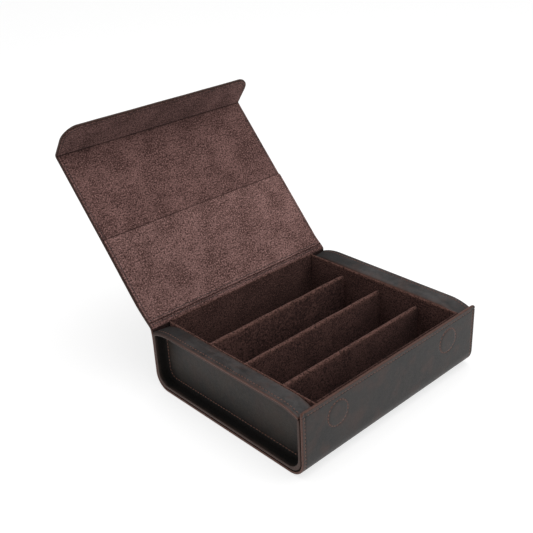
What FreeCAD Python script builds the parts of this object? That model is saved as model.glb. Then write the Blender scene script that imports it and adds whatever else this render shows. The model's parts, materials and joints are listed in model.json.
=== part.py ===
"""Leather eyeglasses case: an open box with four compartments, a hinged lid and a magnetic flap.

Frame: X runs along the hinge, +Y points to the hinge side, +Z is up, and the origin is the centre
of the underside. The lid and flap are drawn closed and turned to their open rest pose by Placement.
"""

import FreeCAD
import Part
import math
import os

# Every driving dimension, in millimetres or degrees.
SIZES = {
    "case_length": 205.0,
    "case_depth": 173.0,
    "wall_height": 57.8,
    "corner_radius": 14.0,
    "leather": 2.0,
    "wall_board": 1.6,
    "board_setback": 1.2,
    "back_wall_height": 44.0,
    "tray_skin": 1.6,
    "tray_half_length": 83.2,
    "tray_wall": 1.8,
    "tray_rim_height": 55.9,
    "tray_front_height": 57.2,
    "divider_thickness": 3.8,
    "divider_board": 1.8,
    "divider_height": 48.5,
    "recess_depth": 9.5,
    "gusset": 2.0,
    "gusset_setback": 0.2,
    "recess_radius": 11.0,
    "shoulder_height": 58.1,
    "shoulder_skin": 2.0,
    "shoulder_gap": 0.2,
    "shoulder_tilt": 5.6,
    "shoulder_lip": 1.4,
    "shoulder_bend": 50.0,
    "shoulder_flat_front": 62.0,
    "shoulder_flat_back": 64.0,
    "magnet_radius": 9.0,
    "magnet_offset": 65.7,
    "magnet_height": 40.0,
    "magnet_clearance": 0.1,
    "pivot_inset": 4.5,
    "pivot_height": 55.4,
    "lid_open": 131.4,
    "lid_underside": 59.6,
    "lining": 0.8,
    "lid_board": 1.2,
    "lid_start": 6.0,
    "pocket_reach": 86.5,
    "pocket_skin": 0.65,
    "pocket_gap": 0.5,
    "pocket_seam": 3.8,
    "flap_clearance": 0.4,
    "flap_length": 32.9,
    "flap_radius": 15.0,
    "flap_fold": 77.5,
    "crease_land": 2.0,
    "board_inset": 1.0,
    "hinge_bend": 11.0,
    "crown_inside": 40.0,
    "crown_outside": 12.0,
    "tool_gap": 0.1,
    "overshoot": 1.0,
}

doc = FreeCAD.newDocument("eyeglasses_case")
sheet = doc.addObject("Spreadsheet::Sheet", "Sizes")
for row, (alias, number) in enumerate(SIZES.items(), start=1):
    sheet.set(f"A{row}", alias)
    sheet.set(f"B{row}", str(number))
    sheet.setAlias(f"B{row}", alias)
doc.recompute()


class Dim:
    """A size that keeps its spreadsheet formula beside its value."""

    def __init__(self, formula, value):
        self.formula = formula
        self.value = value

    def __add__(self, other):
        return joined(self, "+", other, lambda a, b: a + b)

    def __sub__(self, other):
        return joined(self, "-", other, lambda a, b: a - b)

    def __mul__(self, other):
        return joined(self, "*", other, lambda a, b: a * b)

    def __truediv__(self, other):
        return joined(self, "/", other, lambda a, b: a / b)

    def __neg__(self):
        return Dim(f"(-{self.formula})", -self.value)


def as_dim(number):
    return number if isinstance(number, Dim) else Dim(str(float(number)), float(number))


def joined(first, sign, second, work):
    first, second = as_dim(first), as_dim(second)
    return Dim(f"({first.formula} {sign} {second.formula})", work(first.value, second.value))


def size(alias):
    return Dim(f"Sizes.{alias}", float(sheet.get(alias)))


def cosine(angle):
    return Dim(f"cos({angle.formula} * 1 deg)", math.cos(math.radians(angle.value)))


def sine(angle):
    return Dim(f"sin({angle.formula} * 1 deg)", math.sin(math.radians(angle.value)))


def bind(item, prop, dim):
    item.setExpression(prop, as_dim(dim).formula)


# Places that several pieces share.
half_length = size("case_length") / 2
half_depth = size("case_depth") / 2
leather = size("leather")
skin = size("tray_skin")
floor_under = leather + size("wall_board")
tray_front = -half_depth + floor_under
tray_back = half_depth - leather
tray_radius = size("corner_radius") - floor_under
tray_half = size("tray_half_length")
core_start = tray_half + size("tray_wall")
recess_plane = half_length - size("recess_depth")
core_end = recess_plane - size("gusset")
past = size("overshoot")  # how far a cutting block runs past the piece that it cuts
pivot_y = half_depth - size("pivot_inset")
pivot_z = size("pivot_height")
crease_y = -half_depth - size("flap_clearance")
crease_z = size("lid_underside")
lid_low = crease_z
board_low = lid_low + size("lining")
cover_low = board_low + size("lid_board")
lid_top = cover_low + leather
lid_back = pivot_y - size("lid_start")
lid_front = crease_y + size("crease_land")
flap_top = crease_z - size("crease_land")
flap_bottom = crease_z - size("flap_length")


# ---------------------------------------------------------------- building helpers

def add_block(body, kind, x, y, z):
    """A box feature between low and high sides given as pairs."""
    feature = body.newObject(kind, f"{body.Name}_block")
    for prop, (low, high) in zip(("Length", "Width", "Height"), (x, y, z)):
        bind(feature, prop, as_dim(high) - low)
    for axis, (low, _) in zip("xyz", (x, y, z)):
        bind(feature, f"Placement.Base.{axis}", low)
    body.Tip = feature


def block(name, x, y, z):
    body = doc.addObject("PartDesign::Body", name)
    body.Label = name
    add_block(body, "PartDesign::AdditiveBox", x, y, z)
    return body


def cut_block(body, x, y, z):
    add_block(body, "PartDesign::SubtractiveBox", x, y, z)


def add_disc(body, kind, radius, x, y, z):
    """A round disc lying in the XZ plane, from y low to y high."""
    feature = body.newObject(kind, f"{body.Name}_disc")
    feature.Placement = FreeCAD.Placement(
        FreeCAD.Vector(0, 0, 0), FreeCAD.Rotation(FreeCAD.Vector(1, 0, 0), -90)
    )
    bind(feature, "Radius", radius)
    bind(feature, "Height", as_dim(y[1]) - y[0])
    for axis, place in zip("xyz", (x, y[0], z)):
        bind(feature, f"Placement.Base.{axis}", place)
    body.Tip = feature


def disc(name, radius, x, y, z):
    body = doc.addObject("PartDesign::Body", name)
    body.Label = name
    add_disc(body, "PartDesign::AdditiveCylinder", radius, x, y, z)
    return body


def round_edges(body, radius, wanted):
    """Fillet the edges that wanted(middle, direction) picks."""
    doc.recompute()
    base = body.Tip
    names = []
    for number, edge in enumerate(base.Shape.Edges, start=1):
        if edge.Curve.TypeId == "Part::GeomLine":
            middle = edge.valueAt((edge.FirstParameter + edge.LastParameter) / 2)
            if wanted(middle, edge.tangentAt(edge.FirstParameter)):
                names.append(f"Edge{number}")
    if not names:
        raise RuntimeError(f"{body.Name}: no edge to round")
    fillet = body.newObject("PartDesign::Fillet", f"{body.Name}_round")
    fillet.Base = (base, names)
    bind(fillet, "Radius", radius)
    body.Tip = fillet


def close(number, dim):
    return abs(number - as_dim(dim).value) < 0.01


def runs_along(direction, axis):
    return abs(abs(getattr(direction, axis)) - 1) < 1e-6


def boolean(kind, name, base, tool):
    item = doc.addObject(kind, name)
    item.Label = name
    item.Base = base
    item.Tool = tool
    return item


def common(name, base, tool):
    return boolean("Part::Common", name, base, tool)


def cut(name, base, tool):
    return boolean("Part::Cut", name, base, tool)


def mirrored(name, source):
    item = doc.addObject("Part::Mirroring", name)
    item.Label = name
    item.Source = source
    item.Normal = FreeCAD.Vector(1, 0, 0)
    return item


# ---------------------------------------------------------------- the base's shell

def bottom_edges(rows):
    """Picks edges along X whose (y, z) is one of the rows."""
    return lambda p, d: runs_along(d, "x") and any(close(p.y, y) and close(p.z, z) for y, z in rows)


def outer_wrap():
    """One strip of leather: front wall, rounded corners, bottom and back wall."""
    top = size("wall_height")
    body = block("outer_wrap", (-half_length, half_length), (-half_depth, half_depth), (0, top))
    cut_block(
        body,
        (-half_length - past, half_length + past),
        (-half_depth + leather, half_depth - leather),
        (leather, top + past),
    )
    cut_block(
        body,
        (-half_length - past, half_length + past),
        (half_depth - leather - past, half_depth + past),
        (size("back_wall_height"), top + past),
    )
    round_edges(body, size("corner_radius"), bottom_edges([(-half_depth, 0), (half_depth, 0)]))
    inner = half_depth - leather
    round_edges(
        body, size("corner_radius") - leather, bottom_edges([(-inner, leather), (inner, leather)])
    )
    return body


def wrap_board():
    """Stiffening board inside the front wall and bottom, with seats for the two magnets."""
    half = half_length - size("gusset_setback")
    front = -half_depth + leather
    back = half_depth - size("corner_radius")
    top = size("wall_height") - size("board_setback")
    body = block("wrap_board", (-half, half), (front, back), (leather, top))
    cut_block(body, (-half - past, half + past), (tray_front, back + past), (floor_under, top + past))
    round_edges(body, size("corner_radius") - leather, bottom_edges([(front, leather)]))
    round_edges(body, tray_radius, bottom_edges([(tray_front, floor_under)]))
    for side in (-1, 1):
        add_disc(
            body,
            "PartDesign::SubtractiveCylinder",
            size("magnet_radius") + size("magnet_clearance"),
            size("magnet_offset") * side,
            (front - past, tray_front + past),
            size("magnet_height"),
        )
    return body


def base_magnets():
    front = -half_depth + leather
    return [
        disc(
            f"base_magnet_{word}",
            size("magnet_radius"),
            size("magnet_offset") * side,
            (front, tray_front),
            size("magnet_height"),
        )
        for side, word in ((-1, "left"), (1, "right"))
    ]


# ---------------------------------------------------------------- the tray

def tray_lining():
    """Suede liner that runs down the front wall, across the floor and up the back wall."""
    top = size("tray_front_height")
    body = block("tray_lining", (-tray_half, tray_half), (tray_front, tray_back), (floor_under, top))
    inside = (tray_front + skin, tray_back - skin)
    floor = floor_under + skin
    cut_block(body, (-tray_half - past, tray_half + past), inside, (floor, top + past))
    round_edges(
        body, tray_radius, bottom_edges([(tray_front, floor_under), (tray_back, floor_under)])
    )
    round_edges(body, tray_radius - skin, bottom_edges([(inside[0], floor), (inside[1], floor)]))
    return body


def tray_prism(name, x, top, inset=0, radius=None):
    """A block that fills the wrap's rounded inside between two planes across X."""
    y = (tray_front + inset, tray_back - inset)
    low = floor_under + inset
    body = block(name, x, y, (low, top))
    round_edges(body, radius or tray_radius, bottom_edges([(y[0], low), (y[1], low)]))
    return body


def dividers():
    """Three upright partitions: a board inside a folded suede cover with a rounded top."""
    items = []
    thick = size("divider_thickness")
    low = floor_under + skin
    first = tray_front + skin
    clear = (tray_back - skin - first - thick * 3) / 4
    for number in (1, 2, 3):
        front = first + clear * number + thick * (number - 1)
        middle = front + thick / 2
        board = size("divider_board")
        board_y = (middle - board / 2, middle + board / 2)
        board_top = size("divider_height") - (thick - board) / 2
        end = tray_half - (thick - board) / 2
        cover = block(
            f"divider_cover_{number}",
            (-tray_half, tray_half),
            (front, front + thick),
            (low, size("divider_height")),
        )
        top = size("divider_height")
        round_edges(
            cover,
            thick / 2 - size("tool_gap"),
            lambda p, d, top=top: runs_along(d, "x") and close(p.z, top),
        )
        cut_block(cover, (-end, end), board_y, (low - past, board_top))
        items.append(cover)
        items.append(block(f"divider_board_{number}", (-end, end), board_y, (low, board_top)))
    return items


# ---------------------------------------------------------------- the ends

def crown(name, drop):
    """A block under the shoulder's top, lowered by drop: flat, with a long bend down at each end,
    and tilted so that the outer edge is the highest."""
    bend = size("shoulder_bend") - drop
    front = -size("shoulder_flat_front") - bend
    back = size("shoulder_flat_back") + bend
    across = (-size("crown_inside"), size("crown_outside"))
    body = block(name, across, (front, back), (-size("shoulder_height"), -as_dim(drop)))
    top = -as_dim(drop)
    round_edges(body, bend, lambda p, d: runs_along(d, "x") and close(p.z, top))
    body.Placement = FreeCAD.Placement(
        FreeCAD.Vector(0, 0, 0), FreeCAD.Rotation(FreeCAD.Vector(0, -1, 0), 1)
    )
    bind(body, "Placement.Rotation.Angle", size("shoulder_tilt"))
    bind(body, "Placement.Base.x", half_length)
    bind(body, "Placement.Base.z", size("shoulder_height"))
    return body


def end_pieces():
    """The right end's tray wall, core, gusset and shoulder, then their mirror images."""
    top = size("wall_height")
    under = size("shoulder_skin")
    shoulder_start = core_start + size("shoulder_gap")
    gap = size("tool_gap")
    wall = tray_prism("tray_wall_right", (tray_half, core_start), size("tray_rim_height"))
    core = common(
        "end_core_right", tray_prism("core_blank", (core_start, core_end), top), crown("core_top", under)
    )
    blank = common(
        "gusset_blank",
        tray_prism("gusset_block", (core_end, half_length - size("gusset_setback")), top),
        crown("gusset_top", under),
    )
    recess = common(
        "recess",
        tray_prism("recess_block", (recess_plane, half_length + past), top, size("gusset"),
                   size("recess_radius")),
        crown("recess_top", under + size("shoulder_lip")),
    )
    gusset = cut("gusset_right", blank, recess)
    skin_shape = cut("shoulder_skin_blank", crown("shoulder_outside", 0), crown("shoulder_inside", under))
    trim = block(
        "shoulder_trim",
        (shoulder_start, half_length),
        (tray_front + gap, tray_back - gap),
        (size("divider_height"), size("shoulder_height") + past),
    )
    shoulder = common("shoulder_right", skin_shape, trim)
    right = [wall, core, gusset, shoulder]
    return right + [mirrored(item.Label.replace("right", "left"), item) for item in right]


# ---------------------------------------------------------------- the lid and flap

def turn(item, angle, centre, target):
    """Turns a piece drawn closed about centre, opening by angle, and carries centre to target."""
    item.Placement = FreeCAD.Placement(
        FreeCAD.Vector(0, 0, 0), FreeCAD.Rotation(FreeCAD.Vector(-1, 0, 0), 1)
    )
    turned_y = centre[0] * cosine(angle) + centre[1] * sine(angle)
    turned_z = centre[1] * cosine(angle) - centre[0] * sine(angle)
    bind(item, "Placement.Rotation.Angle", angle)
    bind(item, "Placement.Base.y", target[0] - turned_y)
    bind(item, "Placement.Base.z", target[1] - turned_z)
    return item


def open_with_lid(item):
    return turn(item, size("lid_open"), (pivot_y, pivot_z), (pivot_y, pivot_z))


def open_with_flap(item):
    """The flap opens with the lid and then leans back from square by what its fold lacks."""
    angle = size("lid_open")
    reach_y = crease_y - pivot_y
    reach_z = crease_z - pivot_z
    target = (
        pivot_y + reach_y * cosine(angle) + reach_z * sine(angle),
        pivot_z + reach_z * cosine(angle) - reach_y * sine(angle),
    )
    return turn(item, angle + as_dim(90) - size("flap_fold"), (crease_y, crease_z), target)


def lid_pieces():
    """Leather cover, stiffening board and suede lining of the rigid part of the lid."""
    inset = size("board_inset")
    trim = size("gusset_setback")
    cover = block("lid_cover", (-half_length, half_length), (lid_front, lid_back), (cover_low, lid_top))
    board = block(
        "lid_board",
        (-half_length + inset, half_length - inset),
        (lid_front + trim, lid_back - inset),
        (board_low, cover_low),
    )
    lining = block(
        "lid_lining",
        (-half_length + trim, half_length - trim),
        (lid_front, lid_back),
        (lid_low, board_low),
    )
    return [open_with_lid(item) for item in (cover, board, lining)]


def lid_pocket():
    """Suede pocket sewn to the lining along three sides and open at the top."""
    trim = size("gusset_setback")
    seam = size("pocket_seam")
    half = half_length - trim
    low = lid_low - size("pocket_gap") - size("pocket_skin")
    mouth = pivot_y - size("pocket_reach")
    body = block("lid_pocket", (-half, half), (mouth, lid_back), (low, lid_low))
    cut_block(
        body,
        (-half + seam, half - seam),
        (mouth - past, lid_back - seam),
        (lid_low - size("pocket_gap"), lid_low + past),
    )
    return open_with_lid(body)


def flap_panel(name, inset, layer):
    """One layer of the flap, with its two free corners rounded."""
    half = half_length - inset
    body = block(name, (-half, half), layer, (flap_bottom + inset, flap_top))
    low = flap_bottom + inset
    round_edges(
        body,
        size("flap_radius") - inset,
        lambda p, d: runs_along(d, "y") and close(p.z, low),
    )
    return body


def flap_pieces():
    lining_face = crease_y
    board_face = crease_y - size("lining")
    cover_face = board_face - size("lid_board")
    outside = cover_face - leather
    lining = flap_panel("flap_lining", size("gusset_setback"), (board_face, lining_face))
    board = flap_panel("flap_board", size("board_inset"), (cover_face, board_face))
    cover = flap_panel("flap_cover", as_dim(0), (outside, cover_face))
    items = [lining, board, cover]
    for side, word in ((-1, "left"), (1, "right")):
        place = (size("magnet_offset") * side, (cover_face, board_face), size("magnet_height"))
        radius = size("magnet_radius")
        add_disc(
            board,
            "PartDesign::SubtractiveCylinder",
            radius + size("magnet_clearance"),
            place[0],
            (cover_face - past, board_face + past),
            place[2],
        )
        items.append(disc(f"flap_magnet_{word}", radius, *place))
    return [open_with_flap(item) for item in items]


# ---------------------------------------------------------------- the flexible leather

def strip(name, half, near, far):
    """A strip across the case whose section lies between two edges, each a list of Part edges."""
    wire_parts = near + [Part.LineSegment(near_end(near), near_end(far)).toShape()] + far
    wire_parts.append(Part.LineSegment(near_start(near), near_start(far)).toShape())
    wire = Part.Wire(Part.__sortEdges__(wire_parts))
    face = Part.Face(wire)
    face.translate(FreeCAD.Vector(-half, 0, 0))
    item = doc.addObject("Part::Feature", name)
    item.Label = name
    item.Shape = face.extrude(FreeCAD.Vector(2 * half, 0, 0))
    return item


def near_start(edges):
    return edges[0].valueAt(edges[0].FirstParameter)


def near_end(edges):
    return edges[-1].valueAt(edges[-1].LastParameter)


def flat(y, z):
    return FreeCAD.Vector(0, y, z)


def line(first, second):
    return Part.LineSegment(first, second).toShape()


def arc(centre, radius, start, end):
    """An arc in the YZ plane between two angles in degrees, start before end in travel."""
    points = []
    for share in (0, 0.5, 1):
        angle = math.radians(start + (end - start) * share)
        points.append(flat(centre.y + radius * math.cos(angle), centre.z + radius * math.sin(angle)))
    return Part.Arc(*points).toShape(), points


def hinge_strips():
    """The leather and the suede that carry on from the back wall into the lid, as they lie open."""
    heading = 180 - size("lid_open").value
    along = flat(math.cos(math.radians(heading)), math.sin(math.radians(heading)))
    outward = flat(along.z, -along.y)
    pivot = flat(pivot_y.value, pivot_z.value)
    start = size("lid_start").value
    turn_angle = 90 - heading
    wall = size("back_wall_height").value

    def lid_line(height):
        """The point of a lid layer that lies square off the pivot; the layer has this closed height."""
        return pivot + outward * (height - pivot.z)

    def leather_edge(wall_y, height, radius):
        """Up the wall, round the bend and out along the lid."""
        base = lid_line(height)
        reach = (wall_y - base.y) / along.y
        corner = base + along * reach
        setback = radius * math.tan(math.radians(turn_angle / 2))
        centre = flat(corner.y + radius, corner.z - setback)
        bend, points = arc(centre, radius, 180, 180 - turn_angle)
        return [line(flat(wall_y, wall), points[0]), bend, line(points[2], base + along * start)]

    radius = size("hinge_bend").value
    outer = leather_edge(half_depth.value, lid_top.value, radius - leather.value)
    inner = leather_edge(tray_back.value, cover_low.value, radius)
    cover = strip("hinge_cover", half_length.value, outer, inner)

    half = half_length.value - size("gusset_setback").value
    edges = []
    for height in (lid_low.value, board_low.value):
        base = lid_line(height)
        reach = (tray_back.value - base.y) / along.y
        edges.append([line(base + along * reach, base + along * start)])
    lining = strip("hinge_lining", half, *edges)
    return [cover, lining]


def crease_strips():
    """The leather and the suede round the fold between lid and flap, drawn with the lid closed."""
    fold = size("flap_fold").value
    centre = flat(crease_y.value, crease_z.value)
    land = size("crease_land").value
    end_angle = 90 + fold
    hang = flat(math.cos(math.radians(end_angle + 90)), math.sin(math.radians(end_angle + 90)))

    def edge(radius):
        start = centre + flat(land, radius)
        if radius == 0:
            return [line(start, centre), line(centre, centre + hang * land)]
        bend, points = arc(centre, radius, 90, end_angle)
        return [line(start, points[0]), bend, line(points[2], points[2] + hang * land)]

    inner = size("lining").value
    cover_inner = inner + size("lid_board").value
    cover = strip("crease_cover", half_length.value, edge(cover_inner + leather.value), edge(cover_inner))
    half = half_length.value - size("gusset_setback").value
    lining = strip("crease_lining", half, edge(inner), edge(0))
    return [open_with_lid(item) for item in (cover, lining)]


def main():
    pieces = [outer_wrap(), wrap_board(), tray_lining()]
    pieces += base_magnets()
    pieces += dividers()
    pieces += end_pieces()
    pieces += hinge_strips()
    pieces += lid_pieces()
    pieces.append(lid_pocket())
    pieces += crease_strips()
    pieces += flap_pieces()
    doc.recompute()

    for item in doc.Objects:
        if "Invalid" in item.State or "Error" in item.State:
            raise RuntimeError(f"{item.Label}: {item.State}")
    for item in pieces:
        if item.Shape.isNull() or not item.Shape.isValid():
            raise RuntimeError(f"{item.Label}: bad shape")

    os.makedirs("parts", exist_ok=True)
    for item in pieces:
        item.Shape.exportStep(os.path.join("parts", f"{item.Label}.step"))
        box = item.Shape.BoundBox
        print(
            f"{item.Label:18s} {len(item.Shape.Solids)} solid, {item.Shape.Volume / 1000:8.2f} cm3,"
            f" y {box.YMin:7.2f}..{box.YMax:7.2f}, z {box.ZMin:7.2f}..{box.ZMax:7.2f}"
        )


main()
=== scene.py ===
"""Looks for the open leather eyeglasses case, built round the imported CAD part.

Lengths are worked out in millimetres in the row frame and turned into metres when a mesh is made.
Most pieces are bent sheets: a line in the y-z plane swept across x, with real thickness, rounded
cut edges, pressed grooves and separate stitches.
"""

import json
import math

import bmesh
import bpy
from mathutils import Matrix, Vector, noise


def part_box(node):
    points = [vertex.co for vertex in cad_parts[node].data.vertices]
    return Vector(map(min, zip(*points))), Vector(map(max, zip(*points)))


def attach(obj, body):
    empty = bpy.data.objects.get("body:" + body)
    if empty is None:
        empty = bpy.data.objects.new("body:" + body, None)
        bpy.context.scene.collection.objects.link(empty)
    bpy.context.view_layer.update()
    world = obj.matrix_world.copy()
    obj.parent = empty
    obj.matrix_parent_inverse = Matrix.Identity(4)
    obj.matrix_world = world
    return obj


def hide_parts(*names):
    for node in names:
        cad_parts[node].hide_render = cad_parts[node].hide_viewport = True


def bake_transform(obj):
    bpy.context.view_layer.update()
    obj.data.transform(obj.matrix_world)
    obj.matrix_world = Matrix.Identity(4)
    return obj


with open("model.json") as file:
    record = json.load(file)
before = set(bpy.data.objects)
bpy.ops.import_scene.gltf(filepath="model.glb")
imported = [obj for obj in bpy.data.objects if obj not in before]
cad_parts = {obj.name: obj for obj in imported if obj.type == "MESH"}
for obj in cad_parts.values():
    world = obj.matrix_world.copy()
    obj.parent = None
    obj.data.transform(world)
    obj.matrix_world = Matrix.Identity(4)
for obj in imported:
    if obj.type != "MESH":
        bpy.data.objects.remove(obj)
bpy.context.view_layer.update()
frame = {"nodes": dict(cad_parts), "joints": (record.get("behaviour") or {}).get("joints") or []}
MM = 0.001


def node_box(name):
    """Lowest and highest corner of a CAD node in millimetres."""
    low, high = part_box(name)
    return low / MM, high / MM


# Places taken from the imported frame.
joints = {joint["name"]: joint for joint in frame["joints"]}
pivot = Vector(joints["lid_hinge"]["pos_m"]) / MM
crease = Vector(joints["flap_crease"]["pos_m"]) / MM
heading = math.radians(180 + joints["lid_hinge"]["range_deg"][0])
flap_heading = heading - math.radians(joints["flap_crease"]["range_deg"][0])
wrap_low, wrap_high = node_box("outer_wrap")
board_low, board_high = node_box("wrap_board")
lining_low, lining_high = node_box("tray_lining")
wall_low, wall_high = node_box("tray_wall_right")
gusset_low, gusset_high = node_box("gusset_right")
shoulder_low, shoulder_high = node_box("shoulder_right")
magnet_low, magnet_high = node_box("base_magnet_right")
half_length = wrap_high.x
along_lid = Vector((math.cos(heading), math.sin(heading)))
off_lid = Vector((along_lid.y, -along_lid.x))
along_flap = Vector((math.cos(flap_heading), math.sin(flap_heading)))
off_flap = Vector((along_flap.y, -along_flap.x))
lid_reach = Vector((crease.y - pivot.y, crease.z - pivot.z)).dot(along_lid)

# Layers of the lid, as heights off the pivot, and of the flap, as heights off the crease.
LEATHER = 2.0
LID_FACE, LID_LINING, LID_BOARD, LID_OUTSIDE = 3.05, 4.2, 5.0, 8.2
FLAP_BOARD, FLAP_OUTSIDE = 0.8, 4.0
FLAP_LENGTH, FLAP_CORNER = 32.9, 15.0
POCKET_START, POCKET_REACH = 7.6, 86.5
BOX_CORNER = 14.0
SEAM = 8.0
lid_end = lid_reach - SEAM
CROWN_HEIGHT, CROWN_BEND = shoulder_high.z, 50.0
CROWN_FRONT, CROWN_BACK = -62.0, 64.0
CROWN_TILT = math.tan(math.radians(5.6))
# Stitches: their spacing, and how far each row is from the edge or the pivot line it follows.
PITCH, ROW, TOP_ROW, HINGE_ROW, SHOULDER_ROW, FOOT_ROW = 3.2, 3.0, 3.4, 5.4, 3.6, 2.2
# Depths of sewn hollows: in the box's leather, other leather, the flap's suede and the lid's.
CHANNEL, HOLLOW, FLAP_HOLLOW, LID_HOLLOW = 0.40, 0.20, 0.32, 0.18
FAR = 50.0  # an inset that counts as nowhere near an edge
SHARP = math.radians(65)  # mesh edges that turn more than this stay sharp


def on_panel(joint, along, off):
    """A function giving (y, z) on an open panel, by reach from its joint and height off it, outwards."""
    def point(reach, height):
        place = Vector((joint.y, joint.z)) + along * reach + off * height
        return place.x, place.y
    return point


lid_point = on_panel(pivot, along_lid, off_lid)
flap_point = on_panel(crease, along_flap, off_flap)


def row_point(place):
    """A (y, z) place in millimetres as a point of the row frame in metres."""
    return 0.0, place[0] * MM, place[1] * MM


def smooth(t):
    """0 below 0, 1 above 1, and a soft step between."""
    t = min(1.0, max(0.0, t))
    return t * t * (3 - 2 * t)


def ripple(x, y, size, seed):
    """Soft noise from -1 to 1 with features of that size."""
    return noise.noise(Vector((x / size, y / size, seed)))


def bell(t, width):
    """1 at 0, falling softly to nothing over about twice that width."""
    return math.exp(-((t / width) ** 2))


def quarter(radius, degrees):
    """How far along and how far in a round edge has come at each angle."""
    turns = [math.radians(a) for a in degrees]
    return [(radius * math.sin(a), radius * (1 - math.cos(a))) for a in turns]


def scaled(colour, factor, more=0.0):
    return tuple(c * factor + more for c in colour)


def tube(base, size, count):
    """Faces round a tube of count rings, each of size points, from point base on."""
    faces = []
    for low in range(base, base + (count - 1) * size, size):
        for k in range(size):
            after = (k + 1) % size
            faces.append((low + k, low + after, low + size + after, low + size + k))
    return faces


def closed_tube(base, size, count):
    """The same, with a face over each end."""
    ends = (base, base + (count - 1) * size)
    return tube(base, size, count) + [tuple(range(end, end + size)) for end in ends]


# ---- sheets


class Sheet:
    """A bent line in the y-z plane, given by its corners as (y, z) or (y, z, radius).

    relief(x, d) lifts both faces, and skive(x, d) is what is pared off the outer face.
    """

    def __init__(self, corners, thickness, middle=0.0, relief=None, skive=None):
        self.thickness = thickness if callable(thickness) else lambda d: thickness
        self.middle = middle
        self.relief = relief or (lambda x, d: 0.0)
        self.skive = skive or (lambda x, d: 0.0)
        self.runs = []
        self.length = 0.0
        here = Vector(corners[0][:2])
        for index in range(1, len(corners)):
            corner = Vector(corners[index][:2])
            ahead = (corner - here).normalized()
            if index == len(corners) - 1:
                self.add(here, ahead, (corner - here).length, 0.0)
                break
            radius = corners[index][2]
            after = (Vector(corners[index + 1][:2]) - corner).normalized()
            turn = math.atan2(ahead.x * after.y - ahead.y * after.x, ahead.dot(after))
            cut = radius * math.tan(abs(turn) / 2)
            self.add(here, ahead, (corner - here).length - cut, 0.0)
            start = corner - ahead * cut
            self.add(start, ahead, radius * abs(turn), turn / (radius * abs(turn)))
            here = corner + after * cut

    def add(self, start, ahead, length, bend):
        """One straight or round run; bend is the turn for each millimetre."""
        if length > 1e-6:
            self.runs.append((self.length, start, ahead, length, bend))
            self.length += length

    def at(self, d):
        """Place and outward direction at distance d along the line."""
        run = self.runs[0]
        for candidate in self.runs:
            if candidate[0] <= d:
                run = candidate
        begin, start, ahead, length, bend = run
        t = d - begin
        if abs(bend) < 1e-9:
            place, way = start + ahead * t, ahead
        else:
            side = Vector((-ahead.y, ahead.x)) / bend
            angle = t * bend
            way = Vector((
                ahead.x * math.cos(angle) - ahead.y * math.sin(angle),
                ahead.x * math.sin(angle) + ahead.y * math.cos(angle),
            ))
            place = start + side - Vector((-way.y, way.x)) / bend
        return place, Vector((way.y, -way.x))

    def point(self, x, d, depth=0.0):
        """The point at x and d, depth under the outer face."""
        place, out = self.at(d)
        pared = self.skive(x, d) * (1 - depth / self.thickness(d))
        place = place + out * (self.relief(x, d) - depth - pared)
        return Vector((x, place.x, place.y))

    def outside(self, x, d):
        """The outer face's point and direction, for stitches."""
        out = self.at(d)[1]
        return self.point(x, d), Vector((0, out.x, out.y))


def make_piece(name, points, faces, facts, material):
    """A mesh object from points in millimetres, with facts as one number or vector for each point."""
    mesh = bpy.data.meshes.new(name)
    mesh.from_pydata([point * MM for point in points], [], faces)
    for key, values in facts.items():
        kind, field = ("FLOAT_VECTOR", "vector") if key == "grain_place" else ("FLOAT", "value")
        if field == "vector":
            values = [c for value in values for c in value]
        mesh.attributes.new(key, kind, "POINT").data.foreach_set(field, values)
    work = bmesh.new()
    work.from_mesh(mesh)
    bmesh.ops.recalc_face_normals(work, faces=work.faces)
    work.to_mesh(mesh)
    work.free()
    mesh.shade_smooth()
    mesh.set_sharp_from_angle(angle=SHARP)
    mesh.materials.append(material)
    piece = bpy.data.objects.new(name, mesh)
    bpy.context.scene.collection.objects.link(piece)
    return piece


def stations(end, step, edge, round_ends, extra):
    """Distances along a sheet, closer together where its ends are rounded."""
    count = max(2, round(end / step))
    marks = {round(end * k / count, 4) for k in range(count + 1)}
    close = [edge * share for share in (0.06, 0.25, 0.55, 1.0)] + [1.4]
    if round_ends[0]:
        marks |= {round(c, 4) for c in close}
    if round_ends[1]:
        marks |= {round(end - c, 4) for c in close}
    marks |= {round(d, 4) for d in extra if 0.0 < d < end}
    rows = sorted(marks)
    kept = [rows[0]]
    for row in rows[1:]:
        if row - kept[-1] > 0.02:
            kept.append(row)
    return kept


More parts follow.
